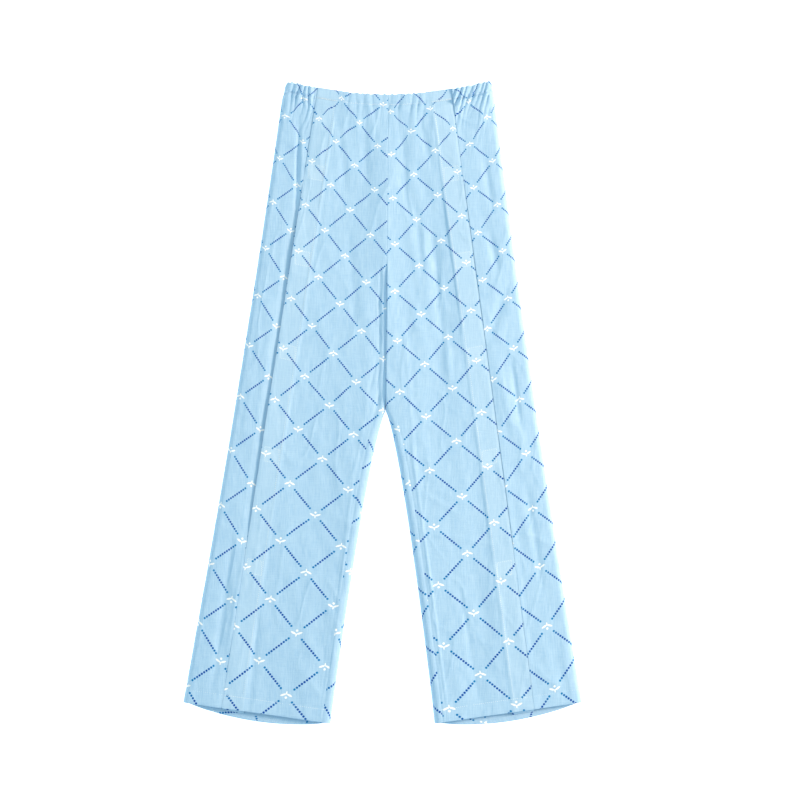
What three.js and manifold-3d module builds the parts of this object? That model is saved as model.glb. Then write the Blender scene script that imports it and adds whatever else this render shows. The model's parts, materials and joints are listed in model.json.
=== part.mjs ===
// Side-opening patient trousers, laid flat with the front up. Millimetres, +Z up, +Y towards the waist,
// +X towards the wearer's left leg. The origin is on the resting surface, in the middle of the box.
//
// Each leg is a front panel and a back panel. They are sewn together along the inseam, and the two legs
// meet at the front and back rise seams. The back panel folds round the outer side onto the front and
// ends as an underlap. The outer strip of the front panel laps over it as a flap, held down by hook
// squares on the flap and loop squares on the underlap, and it peels open about a line in the panel.
// The rounded side fold, the underlap and the rounded inseam are nodes of their own beside flat panels.

import * as THREE from 'three';
import Module from 'manifold-3d';

const wasm = await Module();
wasm.setup();

// ---- Driving dimensions ----

const FRONT_LENGTH = 986.5; // top edge to front hem, down the centre line
const CROTCH_DROP = 491; // top edge to crotch, down the centre line
const TOP_CENTRE_Y = 478; // height of the top edge at the centre seam
const TOP_RISE = 22; // how much higher the top edge is at its corners
const WAIST_HALF = 161; // centre line to the outer edge, at the waist
const HEM_OUTER = 309; // centre line to the outer edge, at the hem
const HEM_INNER = 81; // centre line to the inseam, at the hem
const HEM_TILT = 0.144; // rise of the hem line per millimetre outward
const BACK_HEM_DROOP = 13; // how far the back hem hangs below the front hem
const OUTSEAM_BOW = 0.16; // inward bow of the outer edge, as a share of its spread
const INSEAM_POWER = 0.76; // shape of the inseam, below 1 it leaves the crotch steeply
const LEAN = 9; // sideways lean of the waist, as laid

const CLOTH = 0.9; // woven cotton with its loft
const GAP = 0.3; // clearance between neighbouring pieces
const SEAM = 1.2; // space between two layers that a line of thread joins
const THICKNESS = 20; // whole garment, as laid

const CASING_DEPTH = 18;
const CASING_EASE = 6; // room beside the elastic for the casing's own stitching
const ELASTIC_WIDTH = CASING_DEPTH - CASING_EASE;
const ELASTIC_THICK = 1.5;
const HEM_DEPTH = 22;
const THREAD = 1.0; // width of a line of stitching

const PATCH_SIZE = 25;
const PATCH_THICK = 1.2;
const PATCH_EDGE_MARGIN = 4.5; // flap edge to the near side of a square
const PATCH_SEAM_MARGIN = 1.5; // far side of a square to the facing's edge
const PATCH_INSET = PATCH_EDGE_MARGIN + PATCH_SIZE / 2;
const PATCH_FIRST = 133; // top edge to the middle of the first square
const PATCH_PITCH = 130.5;
const PATCH_SPREAD = 6.7; // what the pitch grows by towards the hem
const PATCH_COUNT = 5;

const FACING_WIDTH = PATCH_SIZE + PATCH_EDGE_MARGIN + PATCH_SEAM_MARGIN;
const UNDERLAP_EASE = 3; // how much wider the underlap is than its facing
const FOLD_EASE = 2; // end of the underlap to the flap's fold, at the waist
const UNDERLAP = FACING_WIDTH + UNDERLAP_EASE; // how far the underlap runs in below the flap
const FLAP_AT_WAIST = UNDERLAP + FOLD_EASE;
const FLAP_AT_HEM = 98;

const SIDES = {
  left: { sign: 1, edgeAtWaist: 97, edgeAtHem: 235 },
  right: { sign: -1, edgeAtWaist: 109, edgeAtHem: 249 },
};

// ---- Levels, from the flap down to the underlap ----

const FRONT_Z = THICKNESS - CLOTH / 2;
const FACING_Z = FRONT_Z - CLOTH - SEAM;
const HOOK_Z = FACING_Z - CLOTH / 2 - GAP - PATCH_THICK / 2;
const LOOP_Z = HOOK_Z - PATCH_THICK - GAP;
const LIP_Z = LOOP_Z - PATCH_THICK / 2 - GAP - CLOTH / 2;
const BACK_Z = CLOTH / 2;

const WRAP_RADIUS = (LIP_Z - BACK_Z) / 2;
const SEAM_RADIUS = (FRONT_Z - BACK_Z) / 2;
const ELASTIC_STEP = CLOTH / 2 + GAP + ELASTIC_THICK / 2; // cloth middle to elastic middle
const CASING_STEP = 2 * ELASTIC_STEP; // cloth middle to the casing's inner layer
const TURNED_STEP = CLOTH + SEAM; // cloth middle to a turned-up layer

const CROTCH = CROTCH_DROP / FRONT_LENGTH;
const ARC_STEPS = 8;
const FLAT_STEPS = 4;

// ---- The flat pattern: u outward from the centre line, t from 0 at the waist to 1 at the hem ----

const down = (distance) => distance / FRONT_LENGTH;
const mix = (a, b, share) => a + (b - a) * share;

function topY(u) {
  return TOP_CENTRE_Y + TOP_RISE * (u / WAIST_HALF) ** 2;
}

function hemY(u) {
  return TOP_CENTRE_Y - FRONT_LENGTH + HEM_TILT * u;
}

function outer(t) {
  return mix(WAIST_HALF, HEM_OUTER, t - OUTSEAM_BOW * t * (1 - t));
}

function inner(t) {
  const along = Math.max(0, (t - CROTCH) / (1 - CROTCH));
  return GAP / 2 + HEM_INNER * along ** INSEAM_POWER;
}

const flapEdge = (side, t) => mix(side.edgeAtWaist, side.edgeAtHem, t);
const foldLine = (side, t) => flapEdge(side, t) - mix(FLAP_AT_WAIST, FLAP_AT_HEM, t);
const lipEnd = (side, t) => flapEdge(side, t) - UNDERLAP;

// Middles of the side fold's arc and of the inseam's arc.
const foldCentre = (t) => outer(t) - CLOTH / 2 - WRAP_RADIUS;
const seamCentre = (t) => inner(t) + CLOTH / 2 + SEAM_RADIUS;

// The panels meet at the rise seam above the crotch, and stop at the rounded inseam below it.
function panelStart(t) {
  return t < CROTCH ? inner(t) : seamCentre(t) + GAP;
}

// Where a point of a row lies. Only the back's lower layer hangs below the front hem.
function place(side, t, u, z, droops) {
  const across = THREE.MathUtils.clamp((u - inner(1)) / (outer(1) - inner(1)), 0, 1);
  const layer = Math.max(0, 1 - z / (LIP_Z + CLOTH / 2));
  const droop = droops ? BACK_HEM_DROOP * Math.sin(Math.PI * across) * layer : 0;
  const y = mix(topY(u), hemY(u) - droop, t);
  return [side.sign * u + LEAN * (1 - t), y, z];
}

// ---- Paths across a row: [u, z] along the middle of the cloth, then the direction across it ----

// Points along a level run, close enough together to follow the curved edges.
function levelPath(from, to, z) {
  return rowsBetween(from, to, FLAT_STEPS).map((u) => [u, z, 0, Math.sign(to - from)]);
}

// Points of an arc, with angles from +u towards +z. The direction across the cloth is inward.
function arcPath(centreU, centreZ, radius, from, to) {
  return rowsBetween(from, to, ARC_STEPS).map((angle) => {
    const [du, dz] = [Math.cos(angle), Math.sin(angle)];
    return [centreU + radius * du, centreZ + radius * dz, -du, -dz];
  });
}

// Inset moves a path inward from the middle of the cloth, and trim shortens it at both ends.
function sideFoldPath(t, inset, trim = 0) {
  const radius = WRAP_RADIUS - inset;
  const half = Math.PI / 2 - trim / radius;
  return arcPath(foldCentre(t), (LIP_Z + BACK_Z) / 2, radius, -half, half);
}

function inseamPath(t, inset, trim = 0) {
  const radius = SEAM_RADIUS - inset;
  const half = Math.PI / 2 - trim / radius;
  return arcPath(seamCentre(t), (FRONT_Z + BACK_Z) / 2, radius, Math.PI - half, Math.PI + half);
}

// What runs inside the back goes out to the side, round it, and in again over the underlap.
function wrapPath(side, t, start, inset) {
  const below = levelPath(start, foldCentre(t), BACK_Z + inset).slice(0, -1);
  const above = levelPath(foldCentre(t), lipEnd(side, t), LIP_Z - inset).slice(1);
  return [...below, ...sideFoldPath(t, inset), ...above];
}

// ---- Solids ----

// The closed outline of a strip of cloth of the given thickness along a path.
function ribbon(path, thickness) {
  const half = thickness / 2;
  const upper = path.map(([u, z, du, dz]) => [u + du * half, z + dz * half]);
  const lower = path.map(([u, z, du, dz]) => [u - du * half, z - dz * half]);
  return [...upper, ...lower.reverse()];
}

function signedVolume(points, faces) {
  let total = 0;
  for (const [a, b, c] of faces) {
    const pa = new THREE.Vector3(...points[a]);
    const pb = new THREE.Vector3(...points[b]);
    const pc = new THREE.Vector3(...points[c]);
    total += pa.dot(pb.cross(pc));
  }
  return total;
}

// The end of a ribbon's loft: one quad for each step along its path, facing with the outline or against.
function cap(count, first, against) {
  const faces = [];
  for (let i = 0; i + 1 < count / 2; i += 1) {
    const [a, b, c, d] = [i, i + 1, count - 2 - i, count - 1 - i].map((corner) => first + corner);
    faces.push(...(against ? [[c, b, a], [d, c, a]] : [[a, b, c], [a, c, d]]));
  }
  return faces;
}

// A solid through ribbon outlines that all have as many points.
function loft(outlines) {
  const count = outlines[0].length;
  const last = outlines.length - 1;
  const points = outlines.flat();
  const faces = [...cap(count, 0, true), ...cap(count, last * count, false)];
  for (let row = 0; row < last; row += 1) {
    for (let i = 0; i < count; i += 1) {
      const a = row * count + i;
      const b = row * count + (i + 1) % count;
      faces.push([a, b, b + count], [a, b + count, a + count]);
    }
  }
  const outward = signedVolume(points, faces) > 0;
  const turned = outward ? faces : faces.map(([a, b, c]) => [c, b, a]);
  return new wasm.Manifold(new wasm.Mesh({
    numProp: 3,
    vertProperties: new Float32Array(points.flat()),
    triVerts: new Uint32Array(turned.flat()),
  }));
}

function toGeometry(solid) {
  const mesh = solid.getMesh();
  const geometry = new THREE.BufferGeometry();
  geometry.setAttribute('position', new THREE.BufferAttribute(mesh.vertProperties, 3));
  geometry.setIndex(new THREE.BufferAttribute(mesh.triVerts, 1));
  geometry.computeVertexNormals();
  return geometry;
}

// Cloth across the rows from one t to another: path(t) gives each row's middle line.
function strip(side, rows, path, thickness, droops = false) {
  return loft(rows.map((t) => ribbon(path(t), thickness).map(([u, z]) => place(side, t, u, z, droops))));
}

function rowsBetween(from, to, steps) {
  return Array.from({ length: steps + 1 }, (_, i) => mix(from, to, i / steps));
}

const WALL = down(CLOTH);
const NOTCH = down(GAP);
const CASING = down(CASING_DEPTH);
const HEM = down(HEM_DEPTH);
const BODY_ROWS = rowsBetween(CASING, CROTCH - NOTCH, 5);
const LEG_ROWS = rowsBetween(0, 1, 6).map((x) => mix(CROTCH + NOTCH, 1 - HEM, x ** 1.5)); // closer at the crotch
const ROWS = [0, WALL, ...BODY_ROWS, CROTCH, ...LEG_ROWS, 1 - WALL, 1];

// ---- Cloth ----

const SUNK = 0.1; // the fold of a turned edge stops this far inside the cloth's own faces

// A turned-over edge: the inner layer and the fold that joins it to the cloth.
function turnedEdge(side, cloth, atHem, depth, step, path, droops) {
  const folded = atHem ? [1 - WALL, 1 - down(SUNK)] : [down(SUNK), WALL];
  const layer = atHem ? [1 - depth, 1 - WALL, 1] : [0, WALL, depth];
  const fold = strip(side, folded, (t) => path(t, step / 2, SUNK), step, droops);
  const inside = strip(side, layer, (t) => path(t, step), CLOTH, droops);
  return cloth.add(fold).add(inside);
}

function cased(side, cloth, path, droops) {
  return turnedEdge(side, cloth, false, CASING, CASING_STEP, path, droops);
}

function hemmed(side, cloth, path, droops) {
  return turnedEdge(side, cloth, true, HEM, TURNED_STEP, path, droops);
}

function frontPanel(side) {
  const path = (t, inset, trim = 0) => (
    levelPath(panelStart(t) + trim, foldLine(side, t) - GAP / 2 - trim, FRONT_Z - inset)
  );
  const panel = strip(side, ROWS, (t) => path(t, 0), CLOTH);
  return hemmed(side, cased(side, panel, path, false), path, false);
}

function backPanel(side) {
  const path = (t, inset, trim = 0) => (
    levelPath(panelStart(t) + trim, foldCentre(t) - GAP - trim, BACK_Z + inset)
  );
  const panel = strip(side, ROWS, (t) => path(t, 0), CLOTH, true);
  return hemmed(side, cased(side, panel, path, true), path, true);
}

function sideFold(side) {
  const cloth = strip(side, ROWS, (t) => sideFoldPath(t, 0), CLOTH, true);
  return hemmed(side, cased(side, cloth, sideFoldPath, true), sideFoldPath, true);
}

function underlap(side) {
  const path = (t, inset, trim = 0) => (
    levelPath(lipEnd(side, t) + trim, foldCentre(t) - GAP - trim, LIP_Z - inset)
  );
  const cloth = strip(side, ROWS, (t) => path(t, 0), CLOTH, true);
  return hemmed(side, cased(side, cloth, path, true), path, true);
}

function inseam(side) {
  const cloth = strip(side, [...LEG_ROWS, 1 - WALL, 1], (t) => inseamPath(t, 0), CLOTH, true);
  return hemmed(side, cloth, inseamPath, true);
}

function frontFlap(side) {
  const path = (t, inset, trim = 0) => (
    levelPath(foldLine(side, t) + GAP / 2 + trim, flapEdge(side, t) - trim, FRONT_Z - inset)
  );
  const flap = strip(side, [...rowsBetween(0, 1 - HEM, 4), 1 - WALL, 1], (t) => path(t, 0), CLOTH);
  return hemmed(side, flap, path, false);
}

// ---- Facings ----

const TURN_EASE = 2; // a casing's or hem's raw edge to the end of a facing
const FACING_ENDS = 1 - HEM - down(TURN_EASE);
const FACING_ROWS = rowsBetween(CASING + down(TURN_EASE), FACING_ENDS, 4);

function placketFacing(side) {
  const rows = rowsBetween(0, FACING_ENDS, 4);
  const path = (t) => levelPath(flapEdge(side, t) - FACING_WIDTH, flapEdge(side, t), FACING_Z);
  return strip(side, rows, path, CLOTH);
}

function underlapFacing(side) {
  const path = (t) => levelPath(lipEnd(side, t), lipEnd(side, t) + FACING_WIDTH, LIP_Z - TURNED_STEP);
  return strip(side, FACING_ROWS, path, CLOTH);
}

// ---- Elastic ----

function elasticBand(paths) {
  const from = down(CLOTH + 2 * GAP);
  const to = down(CLOTH + 2 * GAP + ELASTIC_WIDTH);
  const rows = [from, to].map((t) => {
    const outline = ribbon(paths(t), ELASTIC_THICK);
    return outline.map(([u, z]) => place(SIDES.left, t, u, z, false));
  });
  return loft(rows);
}

const mirrored = (path) => path.map(([u, z, du, dz]) => [-u, z, -du, dz]).reverse();

function frontElastic() {
  const z = FRONT_Z - ELASTIC_STEP;
  return elasticBand((t) => {
    const right = mirrored(levelPath(0, foldLine(SIDES.right, t) - THREAD, z));
    const left = levelPath(0, foldLine(SIDES.left, t) - THREAD, z);
    return [...right, ...left.slice(1)];
  });
}

function backElastic() {
  return elasticBand((t) => {
    const right = mirrored(wrapPath(SIDES.right, t, 0, ELASTIC_STEP));
    const left = wrapPath(SIDES.left, t, 0, ELASTIC_STEP);
    return [...right, ...left.slice(1)];
  });
}

// ---- Lines of stitching, each one solid line of thread ----

const BETWEEN = TURNED_STEP / 2; // halfway between two sewn layers
const SEWN = SEAM - 2 * GAP; // thickness of thread between two layers
const NEAR_EDGE = 1.5; // an edge of cloth to the thread that holds it

function threadAcross(side, middle, path, thickness, droops) {
  const half = down(THREAD) / 2;
  return strip(side, [middle - half, middle + half], path, thickness, droops);
}

function threadDown(side, rows, centre, z, thickness, width = THREAD) {
  const path = (t) => levelPath(centre(t) - width / 2, centre(t) + width / 2, z);
  return strip(side, rows, path, thickness);
}

function casingThreads(side) {
  const middle = CASING - down(NEAR_EDGE);
  const frontEnd = (t) => foldLine(side, t) - THREAD;
  const front = (t) => levelPath(panelStart(t), frontEnd(t), FRONT_Z - ELASTIC_STEP);
  const back = (t) => wrapPath(side, t, panelStart(t), ELASTIC_STEP);
  return {
    casing_thread_front: threadAcross(side, middle, front, ELASTIC_THICK, false),
    casing_thread_back: threadAcross(side, middle, back, ELASTIC_THICK, false),
  };
}

function hemThreads(side) {
  const middle = 1 - HEM + down(NEAR_EDGE);
  const front = (t) => levelPath(panelStart(t), foldLine(side, t) - THREAD, FRONT_Z - BETWEEN);
  const flapStart = (t) => foldLine(side, t) + THREAD;
  const flap = (t) => levelPath(flapStart(t), flapEdge(side, t) - THREAD, FRONT_Z - BETWEEN);
  const back = (t) => wrapPath(side, t, panelStart(t), BETWEEN);
  return {
    hem_thread_front: threadAcross(side, middle, front, SEWN, false),
    hem_thread_flap: threadAcross(side, middle, flap, SEWN, false),
    hem_thread_back: threadAcross(side, middle, back, SEWN, true),
  };
}

function closureThreads(side) {
  const placket = (t) => flapEdge(side, t) - FACING_WIDTH + NEAR_EDGE;
  const underlap = (t) => lipEnd(side, t) + FACING_WIDTH - NEAR_EDGE;
  return {
    placket_thread: threadDown(side, FACING_ROWS, placket, FRONT_Z - BETWEEN, SEWN),
    underlap_thread: threadDown(side, FACING_ROWS, underlap, LIP_Z - BETWEEN, SEWN),
  };
}

// The inseam thread runs inside the leg, against the edges that it joins.
function inseamThread(side) {
  const rows = [...LEG_ROWS.slice(1, -1), FACING_ENDS];
  const middleZ = (FRONT_Z + BACK_Z) / 2;
  return threadDown(side, rows, (t) => inner(t) + CLOTH + GAP + SEWN / 2, middleZ, THREAD, SEWN);
}

function riseThread(z) {
  const rows = rowsBetween(CASING + down(NEAR_EDGE), CROTCH - down(NEAR_EDGE), 2);
  return threadDown(SIDES.left, rows, () => 0, z, SEWN);
}

// ---- Hook and loop squares ----

function squarePlace(side, index) {
  const t = down(PATCH_FIRST + PATCH_PITCH * index + PATCH_SPREAD * index ** 2);
  const above = place(side, 0, flapEdge(side, 0), 0, false);
  const below = place(side, 1, flapEdge(side, 1), 0, false);
  const [x, y] = place(side, t, flapEdge(side, t) - PATCH_INSET, 0, false);
  return { x, y, turn: Math.atan2(above[1] - below[1], above[0] - below[0]) - Math.PI / 2 };
}

// ---- The garment ----

const clothMaterial = () => new THREE.MeshStandardMaterial({ color: 0xb2dbf7, roughness: 0.9, metalness: 0 });
const facingMaterial = () => new THREE.MeshStandardMaterial({ color: 0xa9d3f1, roughness: 0.9, metalness: 0 });
const patchMaterial = () => new THREE.MeshStandardMaterial({ color: 0xd9edfb, roughness: 0.8, metalness: 0 });
const elasticMaterial = () => new THREE.MeshStandardMaterial({ color: 0xf4f4f2, roughness: 0.8, metalness: 0 });
const threadMaterial = () => new THREE.MeshStandardMaterial({ color: 0xbfe0f6, roughness: 0.6, metalness: 0 });

const group = new THREE.Group();

function addPiece(name, geometry, material) {
  const mesh = new THREE.Mesh(geometry, material);
  mesh.name = name;
  group.add(mesh);
  return mesh;
}

function addSquares(name, side) {
  for (let i = 0; i < PATCH_COUNT; i += 1) {
    const spot = squarePlace(side, i);
    for (const [kind, z] of [['hook', HOOK_Z], ['loop', LOOP_Z]]) {
      const box = new THREE.BoxGeometry(PATCH_SIZE, PATCH_SIZE, PATCH_THICK);
      const square = addPiece(`${kind}_square_${name}_${i + 1}`, box, patchMaterial());
      square.position.set(spot.x, spot.y, z);
      square.rotation.z = spot.turn;
    }
  }
}

for (const [name, side] of Object.entries(SIDES)) {
  addPiece(`front_panel_${name}`, toGeometry(frontPanel(side)), clothMaterial());
  addPiece(`back_panel_${name}`, toGeometry(backPanel(side)), clothMaterial());
  addPiece(`side_fold_${name}`, toGeometry(sideFold(side)), clothMaterial());
  addPiece(`underlap_${name}`, toGeometry(underlap(side)), clothMaterial());
  addPiece(`inseam_${name}`, toGeometry(inseam(side)), clothMaterial());
  addPiece(`front_flap_${name}`, toGeometry(frontFlap(side)), clothMaterial());
  addPiece(`placket_facing_${name}`, toGeometry(placketFacing(side)), facingMaterial());
  addPiece(`underlap_facing_${name}`, toGeometry(underlapFacing(side)), facingMaterial());
  addSquares(name, side);
  const threads = { ...casingThreads(side), ...hemThreads(side), ...closureThreads(side) };
  threads.inseam_thread = inseamThread(side);
  for (const [kind, solid] of Object.entries(threads)) {
    addPiece(`${kind}_${name}`, toGeometry(solid), threadMaterial());
  }
}

addPiece('waist_elastic_front', toGeometry(frontElastic()), elasticMaterial());
addPiece('waist_elastic_back', toGeometry(backElastic()), elasticMaterial());
addPiece('rise_thread_front', toGeometry(riseThread(FRONT_Z - CLOTH / 2 - GAP - SEWN / 2)), threadMaterial());
addPiece('rise_thread_back', toGeometry(riseThread(BACK_Z + CLOTH / 2 + GAP + SEWN / 2)), threadMaterial());

// The origin moves to the middle of the garment's box, at the resting surface.
const box = new THREE.Box3().setFromObject(group);
const centre = box.getCenter(new THREE.Vector3());
group.position.set(-centre.x, -centre.y, -box.min.z);

export default group;
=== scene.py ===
# %% [markdown]
# # Side-opening patient trousers, laid flat
#
# Hospital trousers in thin printed cotton lie on a table with the front up. On each leg the outer strip of
# the front panel is a flap that peels open from waist to hem, held by squares of hook-and-loop tape. The
# measured solids come in as a fixed frame. Every soft piece is then made again as fine cloth in its place.

# %% Load the measured frame
import json
import math

import bmesh
import bpy
import numpy as np
from mathutils import Matrix, Vector


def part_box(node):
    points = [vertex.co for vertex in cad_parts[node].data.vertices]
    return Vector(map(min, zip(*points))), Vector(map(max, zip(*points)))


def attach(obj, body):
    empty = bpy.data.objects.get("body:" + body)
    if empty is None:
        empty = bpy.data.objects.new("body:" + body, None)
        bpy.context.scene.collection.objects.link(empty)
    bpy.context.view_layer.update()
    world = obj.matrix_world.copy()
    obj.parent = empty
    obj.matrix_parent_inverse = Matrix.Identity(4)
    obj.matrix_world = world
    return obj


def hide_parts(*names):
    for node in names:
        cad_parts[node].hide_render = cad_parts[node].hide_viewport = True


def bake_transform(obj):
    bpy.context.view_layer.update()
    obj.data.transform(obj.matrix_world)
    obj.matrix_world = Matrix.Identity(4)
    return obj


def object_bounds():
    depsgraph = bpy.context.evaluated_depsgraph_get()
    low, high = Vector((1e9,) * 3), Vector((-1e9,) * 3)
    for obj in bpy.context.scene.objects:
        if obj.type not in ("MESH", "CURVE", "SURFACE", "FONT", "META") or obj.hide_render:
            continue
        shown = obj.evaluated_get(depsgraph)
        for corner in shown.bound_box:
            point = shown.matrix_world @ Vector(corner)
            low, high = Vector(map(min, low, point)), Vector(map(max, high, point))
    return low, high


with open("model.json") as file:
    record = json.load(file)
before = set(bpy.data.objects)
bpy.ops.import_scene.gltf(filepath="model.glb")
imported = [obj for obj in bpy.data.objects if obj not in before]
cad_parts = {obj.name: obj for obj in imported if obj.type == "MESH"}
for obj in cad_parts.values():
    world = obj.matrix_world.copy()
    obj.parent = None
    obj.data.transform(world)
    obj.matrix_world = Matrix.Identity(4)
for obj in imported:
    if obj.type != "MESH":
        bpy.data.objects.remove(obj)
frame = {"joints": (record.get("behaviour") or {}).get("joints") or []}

cad_low, cad_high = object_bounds()
print("frame box", [round(v, 4) for v in (*cad_low, *cad_high)])

# %% [markdown]
# ## Camera, floor and light
#
# Flat garments are shown from straight above, so that nothing leans or shortens. A long lens could stand
# close or far, and this one stands far enough for the legs to keep their true widths.

# %% Camera
VIEW_WIDTH = 1.24  # metres across the picture, at the cloth
VIEW_CENTRE = Vector((0.027, 0.003, 0.012))

camera = bpy.data.cameras.new("camera")
camera.lens = 100
camera.sensor_width = 36
eye = bpy.data.objects.new("camera", camera)
eye.location = VIEW_CENTRE + Vector((0, 0, VIEW_WIDTH * camera.lens / camera.sensor_width))
bpy.context.scene.collection.objects.link(eye)
bpy.context.scene.camera = eye
print("camera height", round(eye.location.z, 3))

# %% [markdown]
# The floor is a plain white sheet that reaches past every view. It gives back a little light of its own,
# as a lit white table does, which keeps the shadow round the garment faint.

# %% Floor
FLOOR_REACH = 30  # metres from the garment to the floor's edges


def plain_floor():
    bm = bmesh.new()
    bmesh.ops.create_grid(bm, x_segments=2, y_segments=2, size=FLOOR_REACH)
    bmesh.ops.translate(bm, verts=bm.verts, vec=(0, 0, -0.0004))
    mesh = bpy.data.meshes.new("floor")
    bm.to_mesh(mesh)
    bm.free()
    floor = bpy.data.objects.new("floor", mesh)
    bpy.context.scene.collection.objects.link(floor)
    paint = bpy.data.materials.new("white table")
    paint.use_nodes = True
    shader = paint.node_tree.nodes["Principled BSDF"]
    shader.inputs["Base Color"].default_value = (0.9, 0.9, 0.9, 1)
    shader.inputs["Roughness"].default_value = 0.9
    shader.inputs["Emission Color"].default_value = (1, 1, 1, 1)
    shader.inputs["Emission Strength"].default_value = 0.85
    mesh.materials.append(paint)


plain_floor()

# %% [markdown]
# Cloth shows its folds only when some light comes from the side. About half of the light here is the even,
# bluish light of the world. A broad warm lamp stands low on the right, and a weaker one on the left. They
# add up to nearly white on level cloth, so a fold has a pale flank, and a shaded one that is a deeper blue.

# %% Light
WARM = (1.0, 0.69, 0.49)
COOL = (0.70, 0.94, 1.0, 1)


def soft_lamp(name, place, aim, size, power):
    lamp = bpy.data.lights.new(name, "AREA")
    lamp.color = WARM
    lamp.shape = "DISK"
    lamp.size = size
    lamp.energy = power
    body = bpy.data.objects.new(name, lamp)
    body.location = place
    body.rotation_euler = (Vector(aim) - Vector(place)).to_track_quat("-Z", "Y").to_euler()
    bpy.context.scene.collection.objects.link(body)


world = bpy.data.worlds.new("studio")
world.use_nodes = True
world.node_tree.nodes["Background"].inputs["Color"].default_value = COOL
world.node_tree.nodes["Background"].inputs["Strength"].default_value = 0.80
bpy.context.scene.world = world
bpy.context.scene.view_settings.view_transform = "Standard"
soft_lamp("key", (2.6, 0.45, 1.25), (0, 0, 0), 0.8, 118)
soft_lamp("fill", (-2.0, 0.4, 2.0), (0, 0, 0), 2.0, 20)
print("lamps", len(bpy.data.lights))

# %% [markdown]
# ## The flat pattern
#
# A tailor's pattern gives each point by two numbers: how far down from the waist, and how far out from the
# centre seam. They place every point here too. t runs from 0 at the waist to 1 at the hem, and u is the
# distance outward in metres. The dimensions are those of the solids, and the top of the frame's box sets
# where the waist lies.

# %% Dimensions of the pattern
MM = 0.001
FRONT_LENGTH = 986.5 * MM
CROTCH = 491 / 986.5
TOP_CENTRE_Y = 478 * MM
TOP_RISE = 22 * MM
WAIST_HALF = 161 * MM
HEM_OUTER = 309 * MM
HEM_INNER = 81 * MM
HEM_TILT = 0.144
BACK_HEM_DROOP = 14 * MM  # the cloth hangs a little lower than its solid
OUTSEAM_BOW = 0.16
INSEAM_POWER = 0.76
LEAN = 9 * MM
CASING_DEPTH = 18 * MM
HEM_DEPTH = 22 * MM
FACING_WIDTH = 31 * MM
UNDERLAP = 34 * MM
FLAP_AT_WAIST = 36 * MM
FLAP_AT_HEM = 98 * MM
PATCH_SIZE = 25 * MM
PATCH_INSET = 17 * MM
PATCH_FIRST = 133 * MM
PATCH_PITCH = 130.5 * MM
PATCH_SPREAD = 6.7 * MM
PATCH_COUNT = 5

SIDES = {
    "left": {"sign": 1, "edge_at_waist": 97 * MM, "edge_at_hem": 235 * MM, "corner": 6 * MM},
    "right": {"sign": -1, "edge_at_waist": 109 * MM, "edge_at_hem": 249 * MM, "corner": 13 * MM},
}
for name, side in SIDES.items():
    side["name"] = name
CENTRE_SHIFT = cad_high.y - (TOP_CENTRE_Y + TOP_RISE)


def mix(a, b, share):
    return a + (b - a) * share


def smooth(x, low, high):
    """0 below low, 1 above high, with a soft step between."""
    share = np.clip((x - low) / (high - low), 0, 1)
    return share * share * (3 - 2 * share)


def outer(t):
    return mix(WAIST_HALF, HEM_OUTER, t - OUTSEAM_BOW * t * (1 - t))


def inner(t):
    return HEM_INNER * np.clip((t - CROTCH) / (1 - CROTCH), 0, 1) ** INSEAM_POWER


def flap_edge(side, t):
    return mix(side["edge_at_waist"], side["edge_at_hem"], t)


def fold_line(side, t):
    return flap_edge(side, t) - mix(FLAP_AT_WAIST, FLAP_AT_HEM, t)


def lip_end(side, t):
    return flap_edge(side, t) - UNDERLAP


def top_dip(side, t, u):
    """How far the top edge is drawn down: its rounded corner, and scallops beside the flap's flat end."""
    radius = side["corner"]
    into = np.clip(u - (WAIST_HALF - radius), 0, radius)
    corner = radius - np.sqrt(radius ** 2 - into ** 2)
    fold, edge = fold_line(side, 0), flap_edge(side, 0)
    gathered = 1 - smooth(u, fold - 0.01, fold) * (1 - smooth(u, edge, edge + 0.006))
    scallop = 0.8 * MM * (1 + np.sin(u / 0.0017 + 1.7 * np.sin(u / 0.006))) * gathered
    return (corner + scallop) * np.exp(-(t * FRONT_LENGTH / 0.022) ** 2)


def place(side, t, u, droop=0.0):
    """Where a point of the pattern lies on the table."""
    x = side["sign"] * u + LEAN * (1 - t)
    top = TOP_CENTRE_Y + TOP_RISE * (u / WAIST_HALF) ** 2
    hem = TOP_CENTRE_Y - FRONT_LENGTH + HEM_TILT * u - droop
    return x, mix(top, hem, t) + CENTRE_SHIFT - top_dip(side, t, u)


# %% [markdown]
# ## Folds and creases
#
# Cloth on a table is never flat. Three kinds of relief are added to its height: gathers, which run down
# from the elastic, creases, which were pressed or fell where the garment was laid down, and the small random
# cockle of washed cotton. A cloth simulation could find such folds, but it can't be told where they lie, so
# they are shaped here from soft ridges.

# %% Soft random relief
def soft_noise(x, y, size_x, size_y, seed):
    """Smooth random hills from -1 to 1, each about one size across."""
    table = np.random.default_rng(seed).uniform(-1, 1, (61, 67))
    i, j = x / size_x + 500, y / size_y + 500
    column, row = np.floor(i).astype(int), np.floor(j).astype(int)
    across, up = smooth(i - column, 0, 1), smooth(j - row, 0, 1)

    def corner_value(a, b):
        return table[(column + a) % 61, (row + b) % 67]

    low = mix(corner_value(0, 0), corner_value(1, 0), across)
    high = mix(corner_value(0, 1), corner_value(1, 1), across)
    return mix(low, high, up)


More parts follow.
